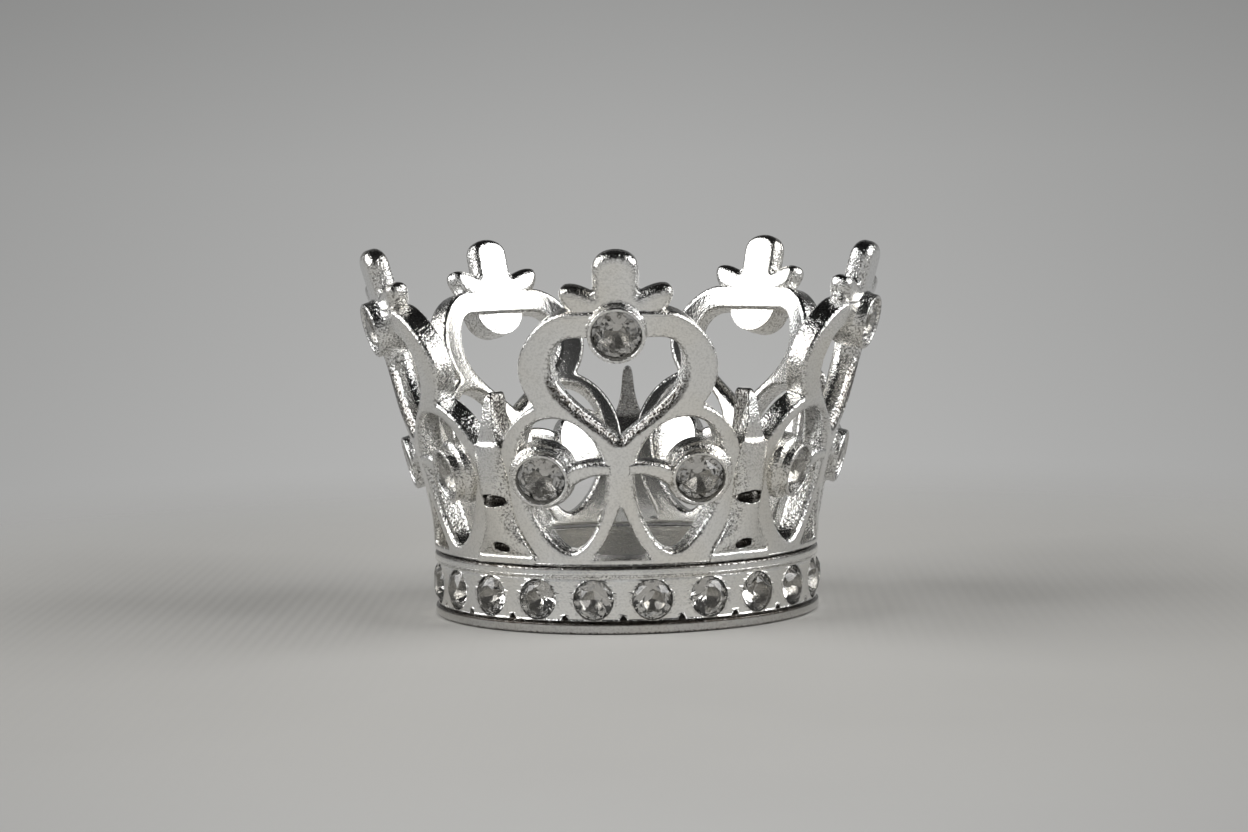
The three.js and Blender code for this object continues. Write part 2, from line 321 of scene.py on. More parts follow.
def flat_plate(name, loops, low, high, voxel):
    """Flat plate in XY between two heights, the first loop its edge and the rest holes,
    with its faces evenly divided."""
    curve = bpy.data.curves.new(name, "CURVE")
    curve.dimensions = "2D"
    curve.fill_mode = "BOTH"
    curve.extrude = (high - low) / 2
    for loop in loops:
        spline = curve.splines.new("POLY")
        spline.points.add(len(loop) - 1)
        for point, place in zip(spline.points, loop):
            point.co = (place.x, place.y, 0, 1)
        spline.use_cyclic_u = True
    obj = bpy.data.objects.new(name, curve)
    bpy.context.scene.collection.objects.link(obj)
    only(obj)
    bpy.ops.object.convert(target="MESH")
    tidy_mesh(obj)
    obj.data.transform(Matrix.Translation((0, 0, (low + high) / 2)))
    use(obj, "REMESH", mode="VOXEL", voxel_size=voxel)
    return obj


def roll_edges(obj, loops, radii, low, high, flatness=0.3):
    """Rounds a flat plate's square edges. Each loop has a function of place that gives its
    radius; flatness runs from a round edge to a bevel."""
    ways = [turned_way(loop, i == 0) for i, loop in enumerate(loops)]
    start = np.array([p for way in ways for p in way])
    end = np.array([p for way in ways for p in way[1:] + way[:1]])
    run = end - start
    span = (run**2).sum(1)
    radius_at = np.array([radii[i](p.x, p.y) for i, way in enumerate(ways) for p in way])
    inward = np.stack([-run[:, 1], run[:, 0]], 1) / np.sqrt(span)[:, None]
    points = coordinates(obj)
    for first in range(0, len(points), 4096):
        block = points[first : first + 4096]
        gap = block[:, None, :2] - start[None]
        along = np.clip((gap * run[None]).sum(2) / span[None], 0, 1)
        miss = gap - along[..., None] * run[None]
        nearest = (miss**2).sum(2).argmin(1)
        rows = np.arange(len(block))
        away = miss[rows, nearest]
        distance = np.sqrt((away**2).sum(1))
        foot = block[:, :2] - away
        radius = radius_at[nearest]
        front = block[:, 2] > (low + high) / 2
        height = np.where(front, high - block[:, 2], block[:, 2] - low)
        way = np.where(
            (distance > 0.1)[:, None], away / np.maximum(distance, 1e-6)[:, None], inward[nearest]
        )
        inside = np.minimum(distance, radius)
        deep = np.clip(height, 0, radius)
        corner = (distance < radius) & (height < radius)
        share = np.clip((radius + inside - deep) / (2 * radius), 0, 1)
        angle = share * math.pi / 2
        new_inside = radius * ((1 - np.cos(angle)) * (1 - flatness) + share * flatness)
        new_deep = radius * ((1 - np.sin(angle)) * (1 - flatness) + (1 - share) * flatness)
        moved = foot + way * new_inside[:, None]
        block[:, :2] = np.where(corner[:, None], moved, block[:, :2])
        level = np.where(front, high - new_deep, low + new_deep)
        block[:, 2] = np.where(corner, level, block[:, 2])
    set_coordinates(obj, points)


def bend_to_wall(obj):
    """Bends a flat plate, x along the wall, y up and z outwards, to the flared wall. Its
    thickness stays square to the wall."""
    points = coordinates(obj)
    around, height, depth = points.T.copy()
    angle = around / wall_radius(height)
    lean = wall_lean(height)
    radius = wall_radius(height) + depth * np.cos(lean)
    points[:, 0] = radius * np.sin(angle)
    points[:, 1] = -radius * np.cos(angle)
    points[:, 2] = height - depth * np.sin(lean)
    set_coordinates(obj, points)


def mark_skin(obj, flared=True, painted_shade_by_place=None):
    """Stores how far each point's face turns away from the wall: the polished faces have 0,
    and the rolled edges and the sides, which keep their cast skin, have 1. The function
    gives the share of painted shade and painted dark reflection by place on the wall,
    height, depth and skin."""
    points = coordinates(obj)
    flat = np.empty(len(points) * 3)
    obj.data.vertex_normals.foreach_get("vector", flat)
    normals = flat.reshape(-1, 3)
    angle = np.arctan2(points[:, 0], -points[:, 1])
    lean = wall_lean(points[:, 2]) if flared else np.zeros(len(points))
    outward = np.stack(
        [np.sin(angle) * np.cos(lean), -np.cos(angle) * np.cos(lean), -np.sin(lean)], 1
    )
    facing = (normals * outward).sum(1)
    skin = np.clip((0.985 - np.abs(facing)) / 0.12, 0, 1)
    layer = obj.data.attributes.new("cast_skin", "FLOAT", "POINT")
    layer.data.foreach_set("value", skin)
    # Painted shade and painted dark reflections: a share of darkness by place, stored for the
    # plating.
    if painted_shade_by_place:
        radius = wall_radius(points[:, 2])
        depth = np.hypot(points[:, 0], points[:, 1]) - radius
        layer = obj.data.attributes.new("painted_shade", "FLOAT", "POINT")
        layer.data.foreach_set("value", painted_shade_by_place(angle * radius, points[:, 2], depth, skin))


def put(source, name, matrix, node, materials):
    """Places a copy of a piece, in metres, that stands for a node of the frame."""
    mesh = source.data.copy()
    mesh.name = name
    mesh.transform(Matrix.Translation(RING_AXIS) @ Matrix.Scale(MM, 4) @ matrix)
    mesh.materials.clear()
    for material in materials:
        mesh.materials.append(material)
    obj = bpy.data.objects.new(name, mesh)
    bpy.context.scene.collection.objects.link(obj)
    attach(obj, "root")
    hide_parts(node)
    return obj


def turn_about_axis(index):
    """Rotation that takes the first heart to another."""
    return Matrix.Rotation(PITCH * index, 4, "Z")


# ---- Materials ----


def socket(group, name, kind, direction, default=None):
    """A named socket of a node group."""
    item = group.interface.new_socket(name=name, in_out=direction, socket_type=kind)
    if default is not None:
        item.default_value = default


def cast_skin_group():
    """Grain, ripple and specks of a cast and plated surface."""
    group = bpy.data.node_groups.get("Cast Skin")
    if group:
        return group
    group = bpy.data.node_groups.new("Cast Skin", "ShaderNodeTree")
    socket(group, "Skin", "NodeSocketFloat", "INPUT", 1.0)
    socket(group, "Grain Scale", "NodeSocketFloat", "INPUT", 8000.0)
    socket(group, "Face Grain", "NodeSocketFloat", "INPUT", 0.2)
    socket(group, "Height", "NodeSocketFloat", "OUTPUT")
    socket(group, "Specks", "NodeSocketFloat", "OUTPUT")
    nodes, links = group.nodes, group.links
    start = nodes.new("NodeGroupInput")
    end = nodes.new("NodeGroupOutput")
    place = nodes.new("ShaderNodeTexCoord")
    grain = nodes.new("ShaderNodeTexNoise")
    grain.inputs["Detail"].default_value = 2.0
    grain.inputs["Roughness"].default_value = 0.6
    links.new(place.outputs["Object"], grain.inputs["Vector"])
    links.new(start.outputs["Grain Scale"], grain.inputs["Scale"])
    lumps = nodes.new("ShaderNodeTexNoise")
    lumps.inputs["Scale"].default_value = 3600.0
    lumps.inputs["Detail"].default_value = 2.0
    links.new(place.outputs["Object"], lumps.inputs["Vector"])
    amount = nodes.new("ShaderNodeMapRange")
    links.new(start.outputs["Skin"], amount.inputs["Value"])
    links.new(start.outputs["Face Grain"], amount.inputs["To Min"])
    relief = typed(nodes, "ShaderNodeMath", operation="ADD")
    links.new(grain.outputs["Fac"], relief.inputs[0])
    links.new(lumps.outputs["Fac"], relief.inputs[1])
    height = typed(nodes, "ShaderNodeMath", operation="MULTIPLY")
    links.new(relief.outputs["Value"], height.inputs[0])
    links.new(amount.outputs["Result"], height.inputs[1])
    links.new(height.outputs["Value"], end.inputs["Height"])
    specks = map_range(nodes, from_min=0.48, from_max=0.62)
    links.new(grain.outputs["Fac"], specks.inputs["Value"])
    shown = typed(nodes, "ShaderNodeMath", operation="MULTIPLY")
    links.new(specks.outputs["Result"], shown.inputs[0])
    links.new(amount.outputs["Result"], shown.inputs[1])
    links.new(shown.outputs["Value"], end.inputs["Specks"])
    return group


def patches_group():
    """Slow change between two colours over a surface."""
    group = bpy.data.node_groups.get("Slow Patches")
    if group:
        return group
    group = bpy.data.node_groups.new("Slow Patches", "ShaderNodeTree")
    socket(group, "Colour", "NodeSocketColor", "INPUT", (0.9, 0.9, 0.9, 1.0))
    socket(group, "Patch Colour", "NodeSocketColor", "INPUT", (0.8, 0.8, 0.8, 1.0))
    socket(group, "Scale", "NodeSocketFloat", "INPUT", 120.0)
    socket(group, "Colour", "NodeSocketColor", "OUTPUT")
    socket(group, "Mask", "NodeSocketFloat", "OUTPUT")
    nodes, links = group.nodes, group.links
    start = nodes.new("NodeGroupInput")
    end = nodes.new("NodeGroupOutput")
    place = nodes.new("ShaderNodeTexCoord")
    noise = nodes.new("ShaderNodeTexNoise")
    noise.inputs["Detail"].default_value = 3.0
    links.new(place.outputs["Object"], noise.inputs["Vector"])
    links.new(start.outputs["Scale"], noise.inputs["Scale"])
    mask = map_range(nodes, from_min=0.42, from_max=0.68)
    links.new(noise.outputs["Fac"], mask.inputs["Value"])
    mix = typed(nodes, "ShaderNodeMix", data_type="RGBA")
    links.new(mask.outputs["Result"], mix.inputs["Factor"])
    links.new(start.outputs["Colour"], mix.inputs["A"])
    links.new(start.outputs["Patch Colour"], mix.inputs["B"])
    links.new(mix.outputs["Result"], end.inputs["Colour"])
    links.new(mask.outputs["Result"], end.inputs["Mask"])
    return group


def typed(nodes, kind, **settings):
    """A node of this kind with its settings."""
    node = nodes.new(kind)
    for key, value in settings.items():
        setattr(node, key, value)
    return node


def map_range(nodes, smooth=False, **values):
    """A Map Range node with its input values."""
    kind = "SMOOTHSTEP" if smooth else "LINEAR"
    node = typed(nodes, "ShaderNodeMapRange", interpolation_type=kind)
    for key, value in values.items():
        node.inputs[key.replace("_", " ").title()].default_value = value
    return node


def new_material(name):
    """A material with a Principled BSDF."""
    material = bpy.data.materials.new(name)
    material.use_nodes = True
    return material, material.node_tree.nodes, material.node_tree.links


def group_node(nodes, group, **values):
    """A node that shows a group, with its input values."""
    node = nodes.new("ShaderNodeGroup")
    node.node_tree = group
    for key, value in values.items():
        node.inputs[key.replace("_", " ").title()].default_value = value
    return node


def silver_plate():
    """Bright silver plating over a cast skin, darkened in places by painted shade and
    painted dark reflections.
    """
    known = bpy.data.materials.get("Silver Plating")
    if known:
        return known
    look = finish()
    material, nodes, links = new_material("Silver Plating")
    shader = nodes["Principled BSDF"]
    shader.inputs["Metallic"].default_value = 1.0
    skin = typed(nodes, "ShaderNodeAttribute", attribute_name="cast_skin")
    cast = group_node(nodes, cast_skin_group(), grain_scale=6500.0, face_grain=0.22)
    links.new(skin.outputs["Fac"], cast.inputs["Skin"])
    tint = group_node(nodes, patches_group(), scale=160.0)
    tint.inputs["Colour"].default_value = look.silver
    tint.inputs["Patch Colour"].default_value = look.warm_silver
    # Dark mix: the cast skin's specks, and the painted shade and painted dark reflections stored by
    # place on each piece.
    darker = typed(nodes, "ShaderNodeMix", data_type="RGBA")
    darker.inputs["B"].default_value = (0.06, 0.05, 0.04, 1.0)
    dim = typed(nodes, "ShaderNodeMath", operation="MULTIPLY_ADD", use_clamp=True)
    dim.inputs[1].default_value = 0.7
    painted_shade = typed(nodes, "ShaderNodeAttribute", attribute_name="painted_shade")
    links.new(cast.outputs["Specks"], dim.inputs[0])
    links.new(painted_shade.outputs["Fac"], dim.inputs[2])
    links.new(dim.outputs["Value"], darker.inputs["Factor"])
    links.new(tint.outputs["Colour"], darker.inputs["A"])
    links.new(darker.outputs["Result"], shader.inputs["Base Color"])
    gloss = map_range(nodes, to_min=look.polish, to_max=look.polish + 0.07)
    links.new(tint.outputs["Mask"], gloss.inputs["Value"])
    links.new(gloss.outputs["Result"], shader.inputs["Roughness"])
    bump = nodes.new("ShaderNodeBump")
    bump.inputs["Strength"].default_value = 1.0
    bump.inputs["Distance"].default_value = 5e-5
    links.new(cast.outputs["Height"], bump.inputs["Height"])
    links.new(bump.outputs["Normal"], shader.inputs["Normal"])
    return material


def clear_crystal():
    """Clear cut glass."""
    known = bpy.data.materials.get("Clear Crystal")
    if known:
        return known
    material, nodes, links = new_material("Clear Crystal")
    shader = nodes["Principled BSDF"]
    shader.inputs["Base Color"].default_value = finish().crystal
    shader.inputs["Transmission Weight"].default_value = 1.0
    shader.inputs["IOR"].default_value = 1.58
    shader.inputs["Metallic"].default_value = 0.0
    smear = group_node(nodes, patches_group(), scale=700.0)
    haze = map_range(nodes, to_min=0.0, to_max=0.05)
    links.new(smear.outputs["Mask"], haze.inputs["Value"])
    links.new(haze.outputs["Result"], shader.inputs["Roughness"])
    return material


def mirror_foil():
    """Mirror foil on the stones' backs."""
    known = bpy.data.materials.get("Mirror Foil")
    if known:
        return known
    look = finish()
    material, nodes, links = new_material("Mirror Foil")
    shader = nodes["Principled BSDF"]
    shader.inputs["Metallic"].default_value = 1.0
    tint = group_node(nodes, patches_group(), scale=900.0)
    tint.inputs["Colour"].default_value = look.foil
    tint.inputs["Patch Colour"].default_value = (0.62, 0.6, 0.57, 1.0)
    links.new(tint.outputs["Colour"], shader.inputs["Base Color"])
    gloss = map_range(nodes, to_min=0.02, to_max=0.1)
    links.new(tint.outputs["Mask"], gloss.inputs["Value"])
    links.new(gloss.outputs["Result"], shader.inputs["Roughness"])
    return material


def pale_cloth():
    """Pale ribbed cloth, darkened to each side by painted shade, that fades away far from the crown.
    """
    look = bpy.context.scene.crown_stage
    material, nodes, links = new_material("Pale Cloth")
    shader = nodes["Principled BSDF"]
    shader.inputs["Specular IOR Level"].default_value = 0.1
    tint = group_node(nodes, patches_group(), scale=25.0)
    tint.inputs["Colour"].default_value = look.floor
    tint.inputs["Patch Colour"].default_value = [c * 0.97 for c in look.floor[:3]] + [1.0]
    shader.inputs["Roughness"].default_value = 0.95
    place = nodes.new("ShaderNodeTexCoord")
    split = nodes.new("ShaderNodeSeparateXYZ")
    links.new(place.outputs["Object"], split.inputs[0])
    # Painted shade: the cloth's colour darkens towards each side.
    aside = typed(nodes, "ShaderNodeMath", operation="ABSOLUTE")
    links.new(split.outputs["X"], aside.inputs[0])
    painted_side_shade = map_range(nodes, True, from_min=0.008, from_max=0.05, to_min=1.0, to_max=0.86)
    links.new(aside.outputs["Value"], painted_side_shade.inputs["Value"])
    cloth_with_painted_shade = typed(nodes, "ShaderNodeVectorMath", operation="SCALE")
    links.new(tint.outputs["Colour"], cloth_with_painted_shade.inputs[0])
    links.new(painted_side_shade.outputs["Result"], cloth_with_painted_shade.inputs["Scale"])
    links.new(cloth_with_painted_shade.outputs["Vector"], shader.inputs["Base Color"])
    ribs = nodes.new("ShaderNodeTexWave")
    ribs.bands_direction = "X"
    ribs.inputs["Scale"].default_value = 330.0
    ribs.inputs["Distortion"].default_value = 0.3
    ribs.inputs["Detail"].default_value = 1.0
    links.new(place.outputs["Object"], ribs.inputs["Vector"])
    bump = nodes.new("ShaderNodeBump")
    bump.inputs["Strength"].default_value = 0.2
    bump.inputs["Distance"].default_value = 3e-5
    links.new(ribs.outputs["Fac"], bump.inputs["Height"])
    links.new(bump.outputs["Normal"], shader.inputs["Normal"])
    reach = typed(nodes, "ShaderNodeVectorMath", operation="LENGTH")
    links.new(place.outputs["Object"], reach.inputs[0])
    fade = map_range(nodes, True, from_min=0.045, from_max=0.13, to_min=1.0, to_max=0.0)
    links.new(reach.outputs["Value"], fade.inputs["Value"])
    links.new(fade.outputs["Result"], shader.inputs["Alpha"])
    return material


# ---- Stones ----

# Depths of a stone's crown, rim and back, as shares of its diameter
CROWN_SHARE = 0.17
RIM_SHARE = 0.03
BACK_SHARE = 0.36
GIRDLE_SHARE = CROWN_SHARE + RIM_SHARE


def cut_stone(name, diameter, table):
    """A brilliant with its table at a height, its back foiled."""
    radius = diameter / 2
    crown = table - CROWN_SHARE * diameter
    girdle = crown - RIM_SHARE * diameter
    culet = girdle - BACK_SHARE * diameter
    points = [(0, 0, culet)]
    for i in range(8):
        angle = i * math.pi / 4
        between = angle + math.pi / 8
        c, s, cb, sb = math.cos(angle), math.sin(angle), math.cos(between), math.sin(between)
        points.append((0.56 * radius * c, 0.56 * radius * s, table))
        points.append((0.8 * radius * cb, 0.8 * radius * sb, crown + 0.105 * diameter))
        points.append((0.62 * radius * cb, 0.62 * radius * sb, culet + 0.195 * diameter))
    for i in range(16):
        angle = i * math.pi / 8
        c, s = radius * math.cos(angle), radius * math.sin(angle)
        points += [(c, s, crown), (c, s, girdle)]
    obj = new_mesh(name, points)
    edit_all(obj)
    bpy.ops.mesh.convex_hull()
    bpy.ops.mesh.select_all(action="SELECT")
    bpy.ops.mesh.dissolve_limited(angle_limit=math.radians(0.5))
    bpy.ops.mesh.normals_make_consistent(inside=False)
    leave_edit()
    for face in obj.data.polygons:
        face.use_smooth = False
        face.material_index = 1 if face.center.z < girdle - 1e-3 else 0
    return obj


def place_stones(source, entries):
    """Copies of a stone at (name, matrix, node)."""
    for name, matrix, node in entries:
        put(source, name, matrix, node, [clear_crystal(), mirror_foil()])
    bpy.data.objects.remove(source)


class CROWN_OT_band_stones(bpy.types.Operator):
    """Add the stones around the base band"""

    bl_idname = "object.crown_band_stones"
    bl_label = "Add Band Stones"

    def execute(self, context):
        diameter = stones().band / MM
        step = 2 * math.pi / BAND_STONES
        entries = []
        for i in range(BAND_STONES):
            matrix = Matrix.Rotation((i + 0.5) * step, 4, "Z") @ band_seat_matrix()
            spin = Matrix.Rotation(math.radians(17.0 * i), 4, "Z")
            number = f"{i + 1:02d}"
            entries.append((f"band_crystal_{number}", matrix @ spin, f"band_stone_{number}"))
        place_stones(cut_stone("band stone", diameter, 0.0), entries)
        return {"FINISHED"}


def wall_stone_entries(label, node, x, z, turn):
    """Places of a stone on each of the hearts."""
    entries = []
    for i in range(HEARTS):
        spin = Matrix.Rotation(math.radians(11.0 + 29.0 * i + 7.0 * x), 4, "Z")
        matrix = turn_about_axis(i) @ on_wall(x, z, turn) @ spin
        entries.append((f"{label}_{i + 1}", matrix, f"{node}_{i + 1}"))
    return entries


class CROWN_OT_heart_stones(bpy.types.Operator):
    """Add the stone on top of each heart"""

    bl_idname = "object.crown_heart_stones"
    bl_label = "Add Heart Stones"

    def execute(self, context):
        source = cut_stone("heart stone", stones().heart / MM, stones().cup_rise / MM)
        entries = wall_stone_entries("heart_crystal", "heart_stone", 0.0, HEART_CUP_Z, 0.0)
        place_stones(source, entries)
        return {"FINISHED"}


class CROWN_OT_side_stones(bpy.types.Operator):
    """Add the two stones beside each heart"""

    bl_idname = "object.crown_side_stones"
    bl_label = "Add Side Stones"

    def execute(self, context):
        source = cut_stone("side stone", stones().side / MM, stones().cup_rise / MM)
        entries = wall_stone_entries(
            "left_crystal", "side_stone_left", -SIDE_X, SIDE_CUP_Z, -SIDE_TURN
        )
        entries += wall_stone_entries(
            "right_crystal", "side_stone_right", SIDE_X, SIDE_CUP_Z, SIDE_TURN
        )
        place_stones(source, entries)
        return {"FINISHED"}


# ---- Base band ----


def band_face():
    """Radius of the band's rims."""
    return float(wall_radius(wall().band_height / MM))


def band_seat_matrix():
    """Lays a band stone, its table at 0, on the front of the band."""
    table = band_face() + 0.06 * stones().band / MM
    spot = Matrix.Translation((0, -table, stones().band_height / MM))
    return spot @ Matrix.Rotation(math.pi / 2, 4, "X")


def band_cutters():
    """What is cut from the band: the stones' seats and the small dimples between them."""
    diameter = stones().band / MM
    radius = diameter / 2
    girdle = -GIRDLE_SHARE * diameter
    seat = [
        (0, girdle - BACK_SHARE * diameter - 0.06),
        (radius + 0.07, girdle - 0.06),
        (radius + 0.07, 1.0),
        (0, 1.0),
    ]
    source = spun("seat", seat, 40)
    source.data.transform(Matrix.Rotation(math.pi / 40, 4, "Z"))
    step = 2 * math.pi / BAND_STONES
    pieces = []
    for i in range(BAND_STONES):
        piece = bpy.data.objects.new("seat", source.data.copy())
        bpy.context.scene.collection.objects.link(piece)
        piece.data.transform(Matrix.Rotation((i + 0.5) * step, 4, "Z") @ band_seat_matrix())
        pieces.append(piece)
        bpy.ops.object.select_all(action="DESELECT")
        bpy.ops.mesh.primitive_cone_add(vertices=3, radius1=0.2, radius2=0.62, depth=0.6)
        dimple = bpy.context.object
        edit_all(dimple)
        bpy.ops.mesh.bevel(offset=0.14, segments=3, affect="EDGES")
        leave_edit()
        dimple.data.transform(Matrix.Diagonal((1.0, 0.75, 1, 1)))
        spot = Matrix.Translation((0, -band_face() + 0.22, 1.16))
        spot = spot @ Matrix.Rotation(math.pi / 2, 4, "X")
        dimple.data.transform(Matrix.Rotation(i * step, 4, "Z") @ spot)
        pieces.append(dimple)
    bpy.data.objects.remove(source)
    return joined(pieces)


def band_painted_shade(around, height, depth, skin):
    """Painted shade in the dimples between the stones, in the groove over the lower rim, on the
    lower rim's face and along the bottom edge, and a painted dark reflection along the top edge."""
    step = 2 * math.pi / BAND_STONES
    angle = around / wall_radius(height)
    across = (angle - np.round(angle / step) * step) * band_face()
    near = (np.abs(across) < 0.6) & (height > 0.85) & (height < 1.75) & (depth < -0.2)
    groove = (height > 0.66) & (height < 0.94)
    top = height > 4.8
    # Painted shade by height and place, with a painted dark reflection on the top edge.
    dark = np.select([near, groove, top, height < 0.12, height < 0.67], [0.8, 0.9, 0.7, 0.8, 0.35])
    return dark * (depth > -1)


class CROWN_OT_base_band(bpy.types.Operator):
    """Add the base band with its two rims and its stone seats"""

    bl_idname = "object.crown_base_band"
    bl_label = "Add Base Band"

    def execute(self, context):
        outer = band_face()
        inner = outer - wall().band_wall / MM
        top = wall().band_height / MM
        field = outer - 0.17
        rows = [(field, 1.0 + 0.125 * i) for i in range(25)]
        turns = [math.radians(10 * i) for i in range(10)]
        roll = [(outer - 0.27 * (1 - math.cos(a)), 0.6 + 0.27 * math.sin(a)) for a in turns]
        profile = [
            (inner + 0.2, 0), (outer - 0.22, 0), (outer - 0.07, 0.07), (outer, 0.22),
            *roll, (field - 0.12, 0.93), *rows, (field - 0.03, 4.08),
            (field - 0.04, 4.15), (outer - 0.1, 4.22), (outer - 0.02, 4.3), (outer, 4.4),
            (outer, top - 0.3), (outer - 0.05, top - 0.15), (outer - 0.16, top - 0.04),
            (outer - 0.32, top), (inner + 0.2, top), (inner + 0.06, top - 0.06),
            (inner, top - 0.2), (inner, 0.2), (inner + 0.06, 0.06),
        ]
        band = spun("band", profile, 252)
        combine(band, band_cutters(), "DIFFERENCE")
        tidy_mesh(band, 0.02)
        only(band)
        bpy.ops.object.shade_smooth_by_angle(angle=math.radians(38))
        use(band, "WEIGHTED_NORMAL", keep_sharp=True)
        mark_skin(band, flared=False, painted_shade_by_place=band_painted_shade)
        put(band, "plated_band", Matrix(), "base_band", [silver_plate()])
        bpy.data.objects.remove(band)
        return {"FINISHED"}


def place_castings(source, name, node):
    """Copies of a casting, one for each heart."""
    for i in range(HEARTS):
        matrix = turn_about_axis(i)
        put(source, f"{name}_{i + 1}", matrix, f"{node}_{i + 1}", [silver_plate()])
    bpy.data.objects.remove(source)


# ---- Heart panels ----

SIDE_X = 5.9
SIDE_CUP_Z = 11.7
SIDE_TURN = math.radians(7)
HEART_CUP_Z = 22.4
FOOT_Z = 5.08
LEDGE_Z = 5.6
PANEL_VOXEL = 0.12


def panel_loops():
    """The panel's edge, the arch between its arms, its heart and its two egg-shaped loops,
    with their edge radii."""
    outer = trace(
        (0, FOOT_Z),
        [
            [7.4, FOOT_Z], [7.4, LEDGE_Z], [6.62, LEDGE_Z],
            [7.7, 6.9, 9.65, 9.4, 9.65, 12], [9.65, 14.6, 8.2, 16.2, 6.4, 16.9],
            [7.2, 17.8, 7.6, 18.8, 7.6, 19.7], [7.6, 21.6, 5.6, 23.7, 3.7, 23.85],
            [0, 23.95],
        ],
    )
    arch = trace((0, LEDGE_Z), [[2.2, LEDGE_Z], [1.2, 6.5, 0.45, 8.4, 0, 9.56]])
    heart = trace(
        (0, 14.47),
        [[2.2, 16.2, 5.05, 17.9, 5.05, 19.8], [5.05, 21.1, 4.3, 21.95, 3.2, 21.95], [0, 21.95]],
    )
    loop = trace(
        (3.9, 6.1),
        [
            [5.3, 6.1, 7.9, 9.6, 7.9, 12.3], [7.9, 15, 6.7, 16, 4.9, 16],
            [2.9, 16, 1.08, 13.9, 1.08, 11.5], [1.08, 9, 2.4, 6.1, 3.9, 6.1],
        ],
    )[:-1]
    loops = [whole(outer), whole(arch), whole(heart), loop, flipped(loop)]
    radii = [
        lambda x, y: 0.32 if y > 6 else 0.15,
        lambda x, y: 0.22,
        lambda x, y: 0.34 + 0.4 * min(max((20.4 - y) / 2.5, 0), 1),
        lambda x, y: 0.4,
        lambda x, y: 0.4,
    ]
    return loops, radii


def crest_loop():
    """Outline of the two wings and the upright tablet behind the heart's cup."""
    half = trace(
        (0, 22.6),
        [
            [1.6, 22.8], [3.6, 23.7], [4.1, 24.1, 4.7, 25.2, 4, 25.55],
            [3.3, 25.75, 2.4, 25.35, 1.75, 25.05], [1.75, 26.75],
            [1.75, 27.65, 0.9, 28.05, 0, 28.05],
        ],
    )
    return whole(half)


def twig_loop():
    """Outline of the little curled twig from a side cup to the stem."""
    return trace(
        (0.5, 11.7),
        [
            [1.6, 11.95, 2.7, 11.7, 3.8, 10.75], [4.3, 12],
            [3.4, 12.9, 1.9, 12.95, 0.5, 12.75],
        ],
    )


def cup_profile(diameter, collar, solid):
    """Profile of a cup and its collar, hollow for the stone or solid."""
    radius = diameter / 2
    wall_out = radius + stones().cup_wall / MM
    rise = stones().cup_rise / MM
    girdle = rise - GIRDLE_SHARE * diameter
    outside = [
        (0, -1.7), (wall_out + collar * 0.5, -1.7), (wall_out + collar, -1.5),
        (wall_out + collar, -0.4), (wall_out + collar * 0.85, -0.18),
        (wall_out + collar * 0.5, -0.02), (wall_out + 0.03, 0.06),
        (wall_out, 0.16), (wall_out, rise - 0.17), (wall_out - 0.03, rise - 0.07),
        (wall_out - 0.1, rise - 0.01), (wall_out - 0.16, rise),
    ]
    if solid:
        return outside + [(0, rise)]
    inside = [
        (radius + 0.1, rise - 0.03), (radius + 0.05, rise - 0.1), (radius + 0.03, girdle - 0.05),
        (0, girdle - BACK_SHARE * diameter - 0.06),
    ]
    return outside + inside


def cup_places():
    """Each cup's stone diameter, its collar's width and its matrix on the first heart."""
    side = stones().side / MM
    return [
        (stones().heart / MM, 0.1, on_wall(0, HEART_CUP_Z)),
        (side, 0.4, on_wall(-SIDE_X, SIDE_CUP_Z, -SIDE_TURN)),
        (side, 0.4, on_wall(SIDE_X, SIDE_CUP_Z, SIDE_TURN)),
    ]


def cups(solid):
    """The three cups of a panel as one object."""
    made = []
    for diameter, collar, matrix in cup_places():
        cup = spun("cup", cup_profile(diameter, collar, solid), 64)
        cup.data.transform(matrix)
        made.append(cup)
    return joined(made)


def first_panel():
    """The first heart's panel with its cups and twigs."""
    loops, radii = panel_loops()
    plate = wall().plate / MM
    panel = flat_plate("panel", loops, -plate, 0, PANEL_VOXEL)
    roll_edges(panel, loops, radii, -plate, 0)
    bend_to_wall(panel)
    crest = flat_plate("crest", [crest_loop()], -plate, -0.2, PANEL_VOXEL)
    roll_edges(crest, [crest_loop()], [lambda x, y: 0.7], -plate, -0.2, flatness=0.1)
    bend_to_wall(crest)
    combine(panel, crest, "UNION")
    for loop in (twig_loop(), flipped(twig_loop())):
        twig = flat_plate("twig", [loop], -1.4, 0.1, 0.1)
        roll_edges(twig, [loop], [lambda x, y: 0.48], -1.4, 0.1, flatness=0)
        bend_to_wall(twig)
        combine(panel, twig, "UNION")
    combine(panel, cups(solid=True), "DIFFERENCE")
    combine(panel, cups(solid=False), "UNION")
    return panel


def panel_painted_shade(around, height, depth, skin):
    """Painted shade on the bevel round the lower half of the heart."""
    heart = panel_loops()[0][2]
    half = sorted((p.y, abs(p.x)) for p in heart if p.y < 20)
    levels, edges = zip(*half)
    gap = np.abs(around) - np.interp(height, levels, edges)
    near = (gap > -0.3) & (gap < 0.9) & (height > 14) & (depth > -0.6)
    fade = np.clip((19.6 - height) / 1.2, 0, 1)
    # Painted shade on the heart's lower bevel.
    return 0.6 * near * fade * np.clip(skin * 2, 0, 1)


class CROWN_OT_heart_panels(bpy.types.Operator):
    """Add the five pierced heart panels with their cups"""

    bl_idname = "object.crown_heart_panels"
    bl_label = "Add Heart Panels"

    def execute(self, context):
        panel = first_panel()
        only(panel)
        bpy.ops.object.shade_smooth_by_angle(angle=math.radians(40))
        mark_skin(panel, painted_shade_by_place=panel_painted_shade)
        place_castings(panel, "cast_panel", "heart_panel")
        return {"FINISHED"}


# ---- Posts between the hearts ----

